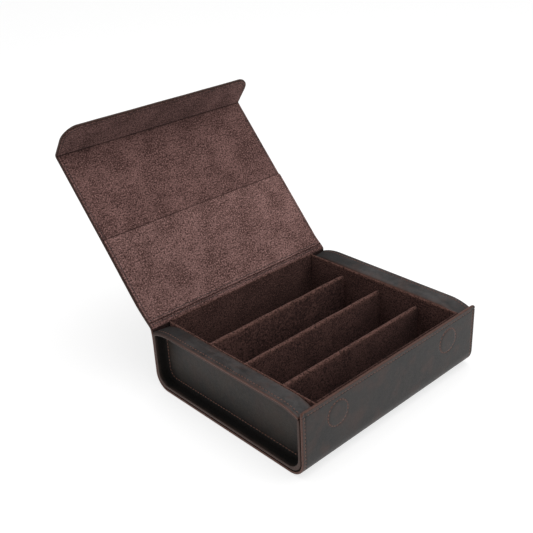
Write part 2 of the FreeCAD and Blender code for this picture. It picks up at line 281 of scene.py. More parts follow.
def sheet_piece(name, sheet, half, material, edge=0.5, round_ends=(True, True), step=2.2,
                insets=(1.3, 2.1, 2.6, 3.0, 3.4, 4.0, 5.5, 8.0), across=2.8, extra=(), plan=None,
                dark=None, rim=1.0, grain_start=0.0, wear=None):
    """A sheet as a closed mesh, with rounded cut edges. plan gives its half width at a distance.

    dark(x, d) is how much it is darkened, and wear(x, d) how far it is from a worn place.
    """
    rows = stations(sheet.length, step, edge, round_ends, extra)
    plan = plan or (lambda d: half)
    middle_count = max(1, round(2 * (half - insets[-1]) / across))
    columns = [(edge - along, sunk) for along, sunk in quarter(edge, (90, 60, 30))]
    columns += [(inset, 0.0) for inset in (edge, *insets)]
    points = []
    facts = {"edge": [], "inset": [], "dark": [], "grain_place": []}
    for d in rows:
        width, thick = plan(d), sheet.thickness(d)
        from_end = min(d if round_ends[0] else FAR, sheet.length - d if round_ends[1] else FAR)
        pinch = 0.0
        if from_end < edge:
            pinch = edge - math.sqrt(max(0.0, edge * edge - (edge - from_end) ** 2))
        left = [(-width + inset, inset, depth) for inset, depth in columns]
        inner = width - insets[-1]
        centre = [(-inner + 2 * inner * k / middle_count, FAR, 0.0) for k in range(1, middle_count)]
        upper = left + centre + [(-x, inset, depth) for x, inset, depth in reversed(left)]
        ring = upper + [(x, inset, thick - depth) for x, inset, depth in reversed(upper)]
        for across_x, inset, depth in ring:
            x = sheet.middle + across_x
            depth = min(max(depth, pinch), thick - pinch)
            points.append(sheet.point(x, d, depth))
            cut = inset < edge * 0.6 or pinch > edge * 0.3
            facts["edge"].append(rim if cut else 0.0)
            facts["inset"].append(min(inset, from_end, wear(x, d) if wear else FAR, FAR))
            facts["dark"].append(dark(x, d) if dark else 0.0)
            facts["grain_place"].append((x, d + grain_start, depth))
    size = len(ring)
    faces = tube(0, size, len(rows))
    for base in (0, (len(rows) - 1) * size):
        for k in range(size // 2 - 1):
            faces.append((base + k, base + k + 1, base + size - 2 - k, base + size - 1 - k))
    return make_piece(name, points, faces, facts, material)


def corner_rows(end, radius, direction):
    """Distances close enough together to follow a round corner of the outline."""
    turns = [inward for _, inward in quarter(radius, range(6, 91, 7))]
    return [end + direction * c for c in turns + [2.1, 2.6, 3.0, 3.4, 4.0]]


def round_plan(half, tip, radius):
    """Half width of a sheet whose corners are rounded at distance tip."""
    def width(d):
        left = abs(d - tip)
        if left >= radius:
            return half
        return half - radius + math.sqrt(max(0.04, radius * radius - (radius - left) ** 2))
    return width


# ---- stitches


def walk(line, length):
    """Pairs of places on a polyline, each pair one stitch long."""
    marks, total = [0.0], 0.0
    for a, b in zip(line, line[1:]):
        total += math.dist(a, b)
        marks.append(total)

    def place(d):
        for k in range(len(line) - 1):
            if d <= marks[k + 1] or k == len(line) - 2:
                t = (d - marks[k]) / max(1e-9, marks[k + 1] - marks[k])
                return tuple(a + (b - a) * t for a, b in zip(line[k], line[k + 1]))

    count = max(1, round(total / PITCH))
    spacing = total / count
    for k in range(count):
        centre = spacing * (k + 0.5)
        yield place(centre - length / 2), place(centre + length / 2)


def stitches(name, runs, material, length=2.2, radius=0.27):
    """Rows of thread. Each run is a surface, which gives a point and a direction, and a line on it.

    A flat dark disc in the gap before each stitch is painted shade standing in for the needle's hole.
    """
    points, places, holes, faces = [], [], [], []
    discs = ((-0.3, 0.55), (0.04, 0.50))
    thread = ((0.0, 0.45, -0.5), (0.14, 0.9, 0.15), (0.5, 1.0, 0.45), (0.86, 0.9, 0.15), (1.0, 0.45, -0.5))

    def ring(count, centre, side, across, girth, place, twist, hole):
        for k in range(count):
            angle = 2 * math.pi * k / count
            points.append(centre + (side * math.cos(angle) + across * math.sin(angle)) * girth)
            places.append((*place, twist * k))
            holes.append(hole)

    for surface, line in runs:
        for a, b in walk(line, length):
            first, out = surface(*a)
            last, out_last = surface(*b)
            way = (last - first).normalized()
            up = (out + out_last).normalized()
            side, height = way.cross(up), first.y + first.z
            gap = first - way * (PITCH - length) / 2 + up * 0.05
            faces += closed_tube(len(points), 8, len(discs))
            for lift, girth in discs:
                ring(8, gap + up * lift, side, way, girth, (first.x, height), 0.0, 1.0)
            faces += closed_tube(len(points), 6, len(thread))
            for t, girth, lift in thread:
                centre = first.lerp(last, t) + up * radius * lift
                ring(6, centre, side, up, radius * girth, (first.x + t, height), radius, 0.0)
    piece = make_piece(name, points, faces, {"grain_place": places, "dark": holes}, material)
    return piece


# ---- materials


class Shader:
    """A procedural material, with short calls for the nodes it uses."""

    def __init__(self, name, on_object=False):
        self.material = bpy.data.materials.new(name)
        self.material.use_nodes = True
        self.tree = self.material.node_tree
        self.main = self.tree.nodes["Principled BSDF"]
        if on_object:
            source = self.node("ShaderNodeTexCoord").outputs["Object"]
            scale = self.node("ShaderNodeVectorMath", {0: source, "Scale": 1000.0}, operation="SCALE")
            self.place = scale.outputs[0]
        else:
            self.place = self.attribute("grain_place", "Vector")

    def node(self, kind, inputs=None, **settings):
        made = self.tree.nodes.new(kind)
        for key, value in settings.items():
            setattr(made, key, value)
        self.put(made, inputs or {})
        return made

    def put(self, node, inputs):
        """Each input gets a link if its value comes from a node, or else a plain value."""
        for key, value in inputs.items():
            if isinstance(value, bpy.types.NodeSocket):
                self.tree.links.new(value, node.inputs[key])
            else:
                node.inputs[key].default_value = value

    def attribute(self, name, output="Fac"):
        return self.node("ShaderNodeAttribute", attribute_name=name).outputs[output]

    def stretched(self, x, y, z, twist):
        """The piece's own coordinates, scaled along each direction and turned."""
        inputs = {"Scale": (x, y, z), "Rotation": (0, 0, twist), "Vector": self.place}
        return self.node("ShaderNodeMapping", inputs).outputs[0]

    def noise(self, size, detail=3.0, rough=0.55, place=None, distortion=0.0):
        """Noise from about 0 to 1 with features of that size in millimetres."""
        inputs = {"Scale": 1.0 / size, "Detail": detail, "Roughness": rough, "Distortion": distortion}
        inputs["Vector"] = place or self.place
        return self.node("ShaderNodeTexNoise", inputs).outputs["Fac"]

    def cells(self, size):
        inputs = {"Scale": 1.0 / size, "Vector": self.place}
        return self.node("ShaderNodeTexVoronoi", inputs, feature="F1").outputs["Distance"]

    def math(self, operation, a, b, clamp=False):
        return self.node("ShaderNodeMath", {0: a, 1: b}, operation=operation, use_clamp=clamp).outputs[0]

    def times(self, a, b):
        return self.math("MULTIPLY", a, b)

    def plus(self, a, b, clamp=False):
        return self.math("ADD", a, b, clamp)

    def fit(self, value, low, high, out_low=0.0, out_high=1.0):
        """value taken from low..high to out_low..out_high, and held there."""
        inputs = {"Value": value, "From Min": low, "From Max": high, "To Min": out_low, "To Max": out_high}
        return self.node("ShaderNodeMapRange", inputs, interpolation_type="SMOOTHSTEP").outputs["Result"]

    def mix(self, share, a, b):
        """Colours a and b mixed by share."""
        a, b = (c if isinstance(c, bpy.types.NodeSocket) else (*c, 1.0) for c in (a, b))
        return self.node("ShaderNodeMix", {0: share, 6: a, 7: b}, data_type="RGBA").outputs[2]

    def bump(self, height, distance, strength, normal=None):
        inputs = {"Height": height, "Distance": distance * MM, "Strength": strength}
        if normal is not None:
            inputs["Normal"] = normal
        return self.node("ShaderNodeBump", inputs).outputs[0]

    def done(self, colour, roughness, normal, plain=None):
        """Finishes the material; plain holds values set on the shader itself."""
        self.put(self.main, {"Base Color": colour, "Roughness": roughness, "Normal": normal})
        self.put(self.main, plain or {})
        return self.material


EDGE_BROWN = (0.092, 0.038, 0.026)


def leather_material(name, dark, light, brown, edge_tone=EDGE_BROWN, specular=0.42):
    """Waxed pull-up leather: cloudy, finely grained and scuffed, with reddish burnished cut edges."""
    s = Shader(name)
    cloud = s.noise(30, 4, 0.6, None, 0.6)
    smudge = s.noise(11, 4, 0.6, s.stretched(1.5, 0.45, 1.0, 0.1), 0.8)
    small_cloud = s.noise(5, 5, 0.65)
    tone = s.plus(s.plus(s.times(cloud, 0.45), s.times(smudge, 0.30)), s.times(small_cloud, 0.25))
    colour = s.mix(s.fit(tone, 0.38, 0.62), dark, light)
    warm = s.fit(s.noise(19, 3, 0.6), 0.46, 0.66, 0.0, 0.36)
    colour = s.mix(warm, colour, scaled(edge_tone, 0.62))
    scuff_long = s.noise(5, 3, 0.6, s.stretched(0.12, 1.3, 1.0, 0.35), 1.2)
    scuff_short = s.noise(3, 2, 0.6, s.stretched(1.4, 0.1, 1.0, 0.2), 0.8)
    scuff = s.math("MAXIMUM", s.fit(scuff_long, 0.66, 0.74), s.fit(scuff_short, 0.68, 0.76))
    colour = s.mix(s.times(scuff, 0.35), colour, scaled(light, 1.9, 0.006))
    pore = s.cells(0.75)
    colour = s.mix(s.fit(pore, 0.0, 0.26, 0.45, 0.0), colour, scaled(dark, 0.45))
    ragged = s.plus(s.attribute("inset"), s.fit(small_cloud, 0.3, 0.7, 1.6, -1.6))
    worn = s.fit(ragged, 4.2, 0.2, 0.0, brown)
    colour = s.mix(worn, colour, scaled(edge_tone, 0.62))
    fibre = s.noise(0.9, 4, 0.7)
    cut = s.mix(s.fit(fibre, 0.3, 0.7), scaled(edge_tone, 0.6), scaled(edge_tone, 1.35))
    colour = s.mix(s.fit(s.attribute("edge"), 0.25, 0.8), colour, cut)
    # The dark attribute darkens the colour: painted shade on most pieces, a darker burnished edge on the
    # lid and flap.
    shaded = s.attribute("dark")
    colour = s.mix(s.times(shaded, 0.96), colour, scaled(dark, 0.15))
    grain = s.plus(s.times(s.fit(pore, 0.0, 0.5), 0.6), s.times(s.noise(0.55, 4, 0.7), 0.7))
    normal = s.bump(grain, 0.11, 0.55)
    normal = s.bump(s.noise(4.5, 4, 0.6), 0.30, 0.55, normal)
    gloss = s.plus(s.fit(tone, 0.3, 0.7, 0.43, 0.56), s.times(scuff, 0.12))
    gloss = s.plus(gloss, s.fit(s.noise(1.6, 3, 0.6), 0.3, 0.7, -0.04, 0.05))
    gloss = s.plus(gloss, s.times(shaded, 0.45), clamp=True)
    return s.done(colour, gloss, normal, {"Specular IOR Level": specular})


def suede_material(name, deep, pale, rim):
    """Napped microsuede: cloudy where the nap is brushed, with fine dark specks and a soft sheen."""
    s = Shader(name)
    cloud = s.noise(24, 3, 0.55, s.stretched(1.0, 0.8, 1.0, 0.3), 0.5)
    brushed = s.noise(8, 3, 0.6, s.stretched(0.6, 1.2, 1.0, -0.4), 0.5)
    tone = s.plus(s.times(cloud, 0.62), s.times(brushed, 0.38))
    colour = s.mix(s.fit(tone, 0.36, 0.66), deep, pale)
    colour = s.mix(s.fit(s.attribute("edge"), 0.2, 0.9, 0.0, 0.85), colour, rim)
    fleck = s.noise(1.3, 2, 0.7)
    mottle = s.noise(2.6, 3, 0.75)
    colour = s.mix(s.fit(mottle, 0.50, 0.36, 0.0, 0.7), colour, scaled(deep, 0.35))
    colour = s.mix(s.fit(fleck, 0.50, 0.38, 0.0, 0.7), colour, scaled(deep, 0.28))
    colour = s.mix(s.fit(fleck, 0.52, 0.66, 0.0, 0.75), colour, scaled(pale, 1.75))
    hair = s.noise(0.5, 2, 0.6, s.stretched(0.35, 1.0, 1.0, 0.5))
    # The dark attribute darkens the colour, mostly as painted shade in creases, sewn lines, slots and
    # joins.
    colour = s.mix(s.times(s.attribute("dark"), 0.85), colour, scaled(deep, 0.14))
    normal = s.bump(s.plus(fleck, s.times(hair, 0.5)), 0.22, 0.8)
    normal = s.bump(s.noise(7, 4, 0.6), 0.35, 0.45, normal)
    gloss = s.fit(fleck, 0.3, 0.7, 0.98, 0.86)
    plain = {"Specular IOR Level": 0.06, "Sheen Weight": 0.05, "Sheen Roughness": 0.5}
    return s.done(colour, gloss, normal, plain)


def thread_material(name, colour):
    """Waxed polyester thread, twisted, with painted shade in the hollows of its twist."""
    s = Shader(name)
    inputs = {"Scale": 0.9, "Distortion": 1.5, "Vector": s.place}
    wave = s.node("ShaderNodeTexWave", inputs, wave_type="BANDS", bands_direction="DIAGONAL")
    twist = wave.outputs["Fac"]
    tone = s.mix(s.fit(twist, 0.2, 0.8), scaled(colour, 0.55), colour)
    tone = s.mix(s.fit(s.noise(12, 3), 0.4, 0.6, 0.0, 0.4), tone, scaled(colour, 0.5))
    # The needle-hole discs are painted near-black shade.
    tone = s.mix(s.attribute("dark"), tone, (0.004, 0.003, 0.003))
    return s.done(tone, s.fit(s.noise(0.6), 0.3, 0.7, 0.5, 0.7), s.bump(twist, 0.08, 0.6))


def board_material(name):
    """Grey-brown pulp board, as the CAD stiffeners are."""
    s = Shader(name, on_object=True)
    fibre = s.noise(0.8, 5, 0.7, s.stretched(0.3, 1.0, 1.0, 0.0))
    tone = s.mix(s.fit(fibre, 0.35, 0.65), (0.16, 0.13, 0.10), (0.30, 0.25, 0.20))
    return s.done(tone, s.fit(s.noise(5), 0.3, 0.7, 0.8, 0.95), s.bump(fibre, 0.12, 0.5))


def magnet_material(name):
    """Nickel-plated disc, finely brushed with a few marks."""
    s = Shader(name, on_object=True)
    brushed = s.noise(0.5, 3, 0.6, s.stretched(1.0, 0.08, 1.0, 0.0))
    marks = s.fit(s.noise(2.2, 4, 0.7), 0.6, 0.75)
    tone = s.mix(marks, (0.60, 0.58, 0.55), (0.38, 0.36, 0.34))
    return s.done(tone, s.fit(brushed, 0.3, 0.7, 0.24, 0.42), s.bump(brushed, 0.02, 0.4), {"Metallic": 1.0})


leather = leather_material(
    "wrap_leather_finish", (0.0066, 0.0053, 0.0047), (0.0245, 0.0208, 0.0190), 0.55, specular=0.34)
end_leather = leather_material(
    "gusset_leather_finish", (0.0070, 0.0049, 0.0040), (0.0300, 0.0218, 0.0168), 0.25,
    (0.050, 0.024, 0.017), 0.26)
top_leather = leather_material(
    "shoulder_leather_finish", (0.0060, 0.0049, 0.0047), (0.050, 0.044, 0.0435), 0.42)
layer_leather = leather_material(
    "inner_layer_finish", (0.020, 0.011, 0.009), (0.036, 0.020, 0.015), 0.9)
lid_suede = suede_material(
    "lid_suede_finish", (0.088, 0.045, 0.040), (0.188, 0.102, 0.092), (0.070, 0.034, 0.027))
pocket_suede = suede_material(
    "pocket_suede_finish", (0.118, 0.062, 0.055), (0.250, 0.140, 0.127), (0.14, 0.074, 0.062))
tray_suede = suede_material(
    "tray_suede_finish", (0.058, 0.028, 0.024), (0.105, 0.054, 0.046), (0.13, 0.064, 0.050))
divider_suede = suede_material(
    "divider_suede_finish", (0.064, 0.031, 0.027), (0.118, 0.060, 0.051), (0.13, 0.066, 0.054))
dark_thread = thread_material("brown_thread", (0.060, 0.028, 0.022))
light_thread = thread_material("tan_thread", (0.240, 0.106, 0.074))
board = board_material("pulp_board")
nickel = magnet_material("nickel_plate")

for name, node in frame["nodes"].items():
    finish = nickel if "magnet" in name else board
    node.data.materials.clear()
    node.data.materials.append(finish)


# ---- wrap, lid and flap


def groove(inset, at=ROW, depth=HOLLOW, width=0.45):
    """The hollow that a row of stitches pulls into leather."""
    return -depth * bell(inset - at, width)


front, back, wall_top = wrap_low.y, wrap_high.y, wrap_high.z
HINGE_BULGE, HINGE_OUTSIDE = 0.9, 3.9
bend_reach = (back + HINGE_BULGE - pivot.y - HINGE_OUTSIDE * off_lid.x) / along_lid.x
magnet_middle = Vector(((magnet_low.x + magnet_high.x) / 2, (magnet_low.z + magnet_high.z) / 2))
wrap_corners = [
    (front, wall_top),
    (front, 0.0, BOX_CORNER),
    (back, 0.0, BOX_CORNER),
    (back, 46.0, 30.0),
    (*lid_point(bend_reach, HINGE_OUTSIDE), 4.5),
    (*lid_point(21.0, LID_OUTSIDE), 55.0),
    lid_point(lid_end, LID_OUTSIDE),
]
CIRCLE, SWELLING = 10.6, 0.26
SET_BACK, LINING_SET_BACK = 0.18, 0.12  # they keep the front wall and the closed flap's lining apart
circle_d = wall_top - magnet_middle.y
wrap_length = Sheet(wrap_corners, LEATHER).length
lid_start = wrap_length - lid_end
box_end = lid_start - 16


def wrap_thickness(d):
    """Leather alone on the box, and leather with the lid's board behind it on the lid."""
    return LEATHER + (LID_OUTSIDE - LID_BOARD - LEATHER) * smooth((d - lid_start - 3) / 17)


def wrap_relief(x, d):
    """Soft waves, a groove along each sewn edge and a low swelling over each magnet."""
    height = 0.10 * ripple(x, d, 38, 1.7) + 0.05 * ripple(x, d, 11, 4.1)
    on_lid = smooth((d - lid_start) / 20)
    height *= smooth((wrap_length - d) / 14)
    height += 0.22 * on_lid * ripple(x, d, 60, 8.3) * smooth((wrap_length - d) / 20)
    sewn = 1.0 if d < box_end or d > lid_start + 6 else 0.3
    height += groove(half_length - abs(x), depth=CHANNEL if d < box_end else HOLLOW) * sewn
    height += groove(d, TOP_ROW, CHANNEL)
    far = math.hypot(abs(x) - magnet_middle.x, d - circle_d)
    height += SWELLING * smooth((11.8 - far) / 2.6) + groove(far, CIRCLE, CHANNEL, 0.65)
    # The flap's lining closes 0.4 mm in front of this wall, so nothing on it may stand proud.
    height -= SET_BACK * smooth((wall_top - 6 - d) / 6)
    height += 0.18 * bell(d - lid_start + 2.0, 9) * ripple(x, d * 0.35, 9, 3.3)
    on_floor = wall_top - 8 < d < wall_top + back - front + 8
    return min(height, 0.0) if on_floor else height


def pared_edge(inset):
    """What is pared off the lid's leather near its edges, which makes them look thin."""
    return 1.3 * smooth((10 - inset) / 8)


def wrap_skive(x, d):
    return pared_edge(half_length - abs(x)) * smooth((d - lid_start - 5) / 15)


def lid_edge_shade(x, d):
    """The lid's cut edges are burnished darker than the box's."""
    return 0.5 * smooth((abs(x) - half_length + 1.0) / 0.4) * smooth((d - lid_start) / 6)


def circle_wear(x, d):
    """What counts as the inset at a place, small along the two circles so that they look worn."""
    far = math.hypot(abs(x) - magnet_middle.x, d - circle_d)
    return FAR if far > 16 else 0.4 + 3.0 * max(0.0, abs(far - CIRCLE) - 0.3)


circle_rows = [circle_d + 0.75 * k for k in range(-18, 19)]
wrap = Sheet(wrap_corners, wrap_thickness, relief=wrap_relief, skive=wrap_skive)
WALL_CORNER = 2.5
top_rows = [inward for _, inward in quarter(WALL_CORNER, range(15, 91, 15))] + [2.9, 3.4, 3.9, 4.4]
wrap_piece = sheet_piece(
    "wrap_leather", wrap, half_length, leather, edge=0.7, round_ends=(True, False),
    plan=round_plan(half_length, 0.0, WALL_CORNER), extra=top_rows + circle_rows, across=1.3,
    dark=lid_edge_shade, wear=circle_wear,
)
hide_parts("outer_wrap", "hinge_cover", "lid_cover", "lid_board")

fold_share = math.tan((flap_heading - heading) / 2)
flap_corners = [
    lid_point(lid_end, LID_OUTSIDE),
    (*lid_point(lid_reach + FLAP_OUTSIDE * fold_share, LID_OUTSIDE), FLAP_OUTSIDE),
    flap_point(FLAP_LENGTH, FLAP_OUTSIDE),
]
flap_tip = Sheet(flap_corners, LEATHER).length


def flap_relief_outside(x, d):
    """Soft waves and the sewn groove near the flap's edges."""
    height = (0.12 * ripple(x, d + 200, 36, 5.5) + 0.05 * ripple(x, d, 10, 2.1)) * smooth(d / 14)
    left = flap_tip - d
    if left > FLAP_CORNER:
        height += groove(half_length - abs(x))
    if abs(x) < half_length - FLAP_CORNER:
        height += groove(left)
    return height


def flap_inset(x, d):
    """Distance in from the flap's outline, round its corners as well."""
    side, left = half_length - abs(x), flap_tip - d
    if side < FLAP_CORNER and left < FLAP_CORNER:
        return FLAP_CORNER - math.hypot(FLAP_CORNER - side, FLAP_CORNER - left)
    return min(side, left)


flap_outside = Sheet(flap_corners, FLAP_OUTSIDE - FLAP_BOARD, relief=flap_relief_outside,
                     skive=lambda x, d: pared_edge(flap_inset(x, d)))
flap_piece = sheet_piece(
    "flap_leather", flap_outside, half_length, leather, edge=0.7, round_ends=(False, True),
    plan=round_plan(half_length, flap_tip, FLAP_CORNER), grain_start=wrap_length,
    extra=corner_rows(flap_tip, FLAP_CORNER, -1) + [7.0 + 0.7 * k for k in range(12)],
    dark=lambda x, d: 0.5 * smooth((1.0 - flap_inset(x, d)) / 0.4),
)
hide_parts("crease_cover", "flap_cover", "flap_board")

# The suede side is drawn from the flap's tip down to the hinge, so that its outer face is the seen one.
SUEDE_EDGE = 0.9
crease_at = FLAP_LENGTH - SUEDE_EDGE
suede_half = half_length - SUEDE_EDGE
flap_suede_corners = [
    flap_point(crease_at, 0.0),
    (crease.y, crease.z, 0.4),
    lid_point(lid_end, LID_LINING),
]


def flap_relief_inside(x, d):
    """Glued suede with a soft crease line and a pressed stitch line."""
    height = 0.10 * ripple(x, d, 30, 6.6) * smooth((crease_at - 2 - d) / 10)
    height -= LINING_SET_BACK * smooth((crease_at - 2 - d) / 8)
    if d > FLAP_CORNER:
        height += groove(half_length - abs(x), depth=FLAP_HOLLOW)
    if abs(x) < half_length - FLAP_CORNER:
        height += groove(d + SUEDE_EDGE, depth=FLAP_HOLLOW)
    return height


def sewn_shade(inset):
    """Painted shade in the hollow that a row of stitches makes along an edge of the suede."""
    return 0.42 * bell(inset - ROW, 0.55)


def near_crease(x, d):
    """The dark line in the fold's crease, painted shade uneven in width, and a wider painted shade beside
    it.
    """
    width = 0.60 + 0.28 * ripple(x, 0.0, 9, 3.7)
    line = bell(d - crease_at - 0.2 * ripple(x, 5.0, 14, 1.9), width)
    shade = 0.30 * bell(d - crease_at, 3.2) * (0.6 + 0.8 * ripple(x, 2.0, 30, 5.2))
    return min(1.0, 0.9 * line + max(0.0, shade))


def flap_shade(x, d):
    """Painted shade in the crease and along the sewn line, and the flap darker towards the left, partly its
    nap and partly painted shade.
    """
    nap_and_shade = 0.20 * smooth((crease_at - d) / 3) * smooth((90 - x) / 60)
    sewn = sewn_shade(flap_inset(x, flap_tip - d - SUEDE_EDGE))
    return min(1.0, max(near_crease(x, d), nap_and_shade + sewn))


flap_suede = Sheet(flap_suede_corners, FLAP_BOARD, relief=flap_relief_inside)
flap_suede_piece = sheet_piece(
    "flap_suede", flap_suede, suede_half, lid_suede, edge=0.3, round_ends=(True, False),
    plan=round_plan(suede_half, 0.0, FLAP_CORNER - SUEDE_EDGE),
    extra=corner_rows(0.0, FLAP_CORNER - SUEDE_EDGE, 1) + [crease_at + 0.3 * k for k in range(-8, 9)],
    dark=flap_shade,
)
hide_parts("crease_lining", "flap_lining")

# Near the hinge there is no board, so the suede runs in towards the box's back wall and down behind it.
hinge_y = lining_high.y + 0.15
hinge_row_d = lid_end - HINGE_ROW
lid_suede_corners = [
    lid_point(lid_end, LID_LINING),
    (*lid_point(14.0, LID_LINING), 30.0),
    (*lid_point(2.6, 1.2), 2.2),
    (hinge_y, 50.0),
]


def lid_relief(x, d):
    """The lid's glued lining, hardly waving, pressed in along its stitches."""
    reach = lid_end - d
    height = 0.16 * ripple(x, d + 90, 42, 6.6) * smooth(d / 14)
    height += groove(half_length - abs(x), depth=LID_HOLLOW)
    return height + groove(reach, HINGE_ROW, LID_HOLLOW, 0.6)


def lining_shade(x, d):
    """Painted shade: dark lines in the pocket's slot, under the pocket's lower seam, down behind the box
    and along the sewn sides.
    """
    reach = lid_end - d
    slot = 0.95 * bell(reach - POCKET_REACH, 1.0 + 0.6 * abs(ripple(x, 1.0, 20, 2.0)))
    foot = 0.8 * bell(reach - POCKET_START + 0.35, 0.45)
    behind = smooth((2.4 - reach) / 1.6)
    return min(1.0, slot + foot + behind + sewn_shade(half_length - abs(x)))


lid_lining = Sheet(lid_suede_corners, LID_BOARD - LID_LINING, relief=lid_relief)
lid_lining_piece = sheet_piece(
    "lid_suede", lid_lining, suede_half, lid_suede, edge=0.3, round_ends=(False, True),
    extra=[hinge_row_d + 0.45 * k for k in range(-8, 13)]
    + [lid_end - POCKET_REACH + 0.4 * k for k in range(-6, 7)],
    dark=lining_shade, grain_start=flap_suede.length,
)
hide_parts("hinge_lining", "lid_lining")


def pocket_relief(x, d):
    """The pocket's panel: slack at its mouth, held down at its seams."""
    slack = 1.3 * bell(d, 30) * max(0.0, 1 - (x / 90) ** 2) ** 1.2
    waves = 0.22 * ripple(x, d, 26, 9.1) * max(0.0, 1 - (x / 98) ** 2)
    foot = groove(POCKET_REACH - POCKET_START - d, FOOT_ROW, 0.22, 0.6)
    return slack + waves + (groove(half_length - abs(x)) + foot)


def pocket_shade(x, d):
    """Painted shade along the lower seam and the sewn line at each side, and the panel darker towards the
    left.
    """
    foot = POCKET_REACH - POCKET_START - d
    line = 0.6 * bell(foot - 0.1, 0.45) + 0.16 * smooth((40 - x) / 110)
    return min(1.0, line + sewn_shade(half_length - abs(x)))


pocket_corners = [
    lid_point(POCKET_REACH, LID_FACE),
    (*lid_point(15.0, LID_FACE), 30.0),
    lid_point(POCKET_START, 1.8),
]
pocket = Sheet(pocket_corners, 0.65, relief=pocket_relief)
pocket_piece = sheet_piece(
    "pocket_suede", pocket, suede_half, pocket_suede, edge=0.25,
    extra=[pocket.length - 0.4 * k for k in range(1, 11)],
    dark=pocket_shade, rim=0.6,
)
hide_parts("lid_pocket")

# ---- box: inner layer, tray, dividers

layer_corners = [
    (board_low.y, board_high.z),
    (board_low.y, board_low.z, BOX_CORNER - LEATHER),
    (board_high.y, board_low.z),
]
layer = Sheet(layer_corners, 1.6, relief=lambda x, d: -0.05 - 0.05 * ripple(x, d, 20, 2.2))
# dark is painted shade: the inner layer darkens below its top edge, down in the gap between the wrap and
# the tray.
layer_piece = sheet_piece(
    "wrap_inner_layer", layer, board_high.x - 1.1, layer_leather, edge=0.45, across=9,
    insets=(1.3, 3.0, 8.0), dark=lambda x, d: smooth((d - 3.0) / 3.0),
)
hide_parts("wrap_board")

SKIN = 1.6
tray_corners = [
    (lining_high.y - SKIN, lining_high.z),
    (lining_high.y - SKIN, lining_low.z + SKIN, 8.8),
    (lining_low.y + SKIN, lining_low.z + SKIN, 8.8),
    (lining_low.y + SKIN, lining_high.z),
]


def tray_relief(x, d):
    return 0.14 * ripple(x, d, 24, 7.7) + 0.05 * ripple(x, d, 7, 1.2)


tray = Sheet(tray_corners, SKIN - 0.05, relief=tray_relief)
# dark is painted shade along the lining's top edge at the front, in the join with the wrap's layers.
tray_piece = sheet_piece(
    "tray_suede", tray, lining_high.x - 0.1, tray_suede, edge=0.72, step=2.6, across=3.2,
    insets=(1.3, 3.0, 6.0), rim=0.8, dark=lambda x, d: 0.6 * smooth((d - tray.length + 3) / 2.5),
)
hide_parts("tray_lining")


def loft(name, rings, facts, material):
    """A closed mesh through matching rings of points, with both ends filled."""
    points = [point for ring in rings for point in ring]
    facts["grain_place"] = [(point.y, point.z, point.x) for point in points]
    return make_piece(name, points, closed_tube(0, len(rings[0]), len(rings)), facts, material)


def divider(number):
    """A board wrapped in suede: two faces and a soft rounded top, open underneath over its board."""
    low, high = node_box(f"divider_cover_{number}")
    inner_low, inner_high = node_box(f"divider_board_{number}")
    middle, half_thick = (low.y + high.y) / 2, (high.y - low.y) / 2
    bore, bore_top = (inner_high.y - inner_low.y) / 2 + 0.02, inner_high.z + 0.02
    length = high.x + 0.25
    top, corner = 1.9, 3.6  # radii of the top edge and of its two ends
    heights = [low.z + (high.z - top - low.z) * (t / 14) for t in range(15)]
    places = [2 * length * k / 88 - length for k in range(1, 88)]
    places += [side * (length - c) for side in (-1, 1) for c in (0.0, 0.25, 0.7, 1.3, 2.2, 3.2)]
    rings, edge = [], []
    for x in sorted(places):
        from_end = length - abs(x)
        lean = 0.35 * ripple(x, number * 40.0, 45, 3.0)
        crest = 0.35 * ripple(x, number * 25.0, 22, 5.0) - 0.25
        if from_end < corner:
            crest -= corner - math.sqrt(corner ** 2 - (corner - from_end) ** 2)

        def face(side, seed):
            line = []
            for z in heights:
                share = smooth((z - low.z) / (high.z - low.z))
                out = half_thick + 0.12 * ripple(x, z, 16, number + seed)
                line.append((middle + side * out + lean * share, z + crest * share))
            return line

        ring = face(-1, 0.5)
        for angle in range(162, 17, -18):
            a = math.radians(angle)
            y = middle + half_thick * math.cos(a) * 1.02 + lean
            ring.append((y, high.z - top + top * math.sin(a) + crest))
        ring += reversed(face(1, 7.5))
        ring += [(middle + bore, low.z), (middle + bore, bore_top)]
        ring += [(middle - bore, bore_top), (middle - bore, low.z)]
        rings.append([Vector((x, y, z)) for y, z in ring])
        worn = [0.9 * smooth((z - high.z + 5.0) / 3.0) for z in heights]
        edge += worn + [1.0] * 9 + worn[::-1] + [0.0] * 4
    piece = loft(f"divider_suede_{number}", rings, {"edge": edge}, divider_suede)
    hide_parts(f"divider_cover_{number}")
    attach(piece, "base")


for number in (1, 2, 3):
    divider(number)


# ---- box: ends


def crown(x, y, drop):
    """Height of the shoulders' top surface at x and y, drop millimetres under it."""
    radius = CROWN_BEND - drop
    over = max(0.0, CROWN_FRONT - y, y - CROWN_BACK)
    arc = math.sqrt(max(1.0, radius * radius - over * over))
    return CROWN_HEIGHT - CROWN_BEND + arc - (half_length - abs(x)) * CROWN_TILT


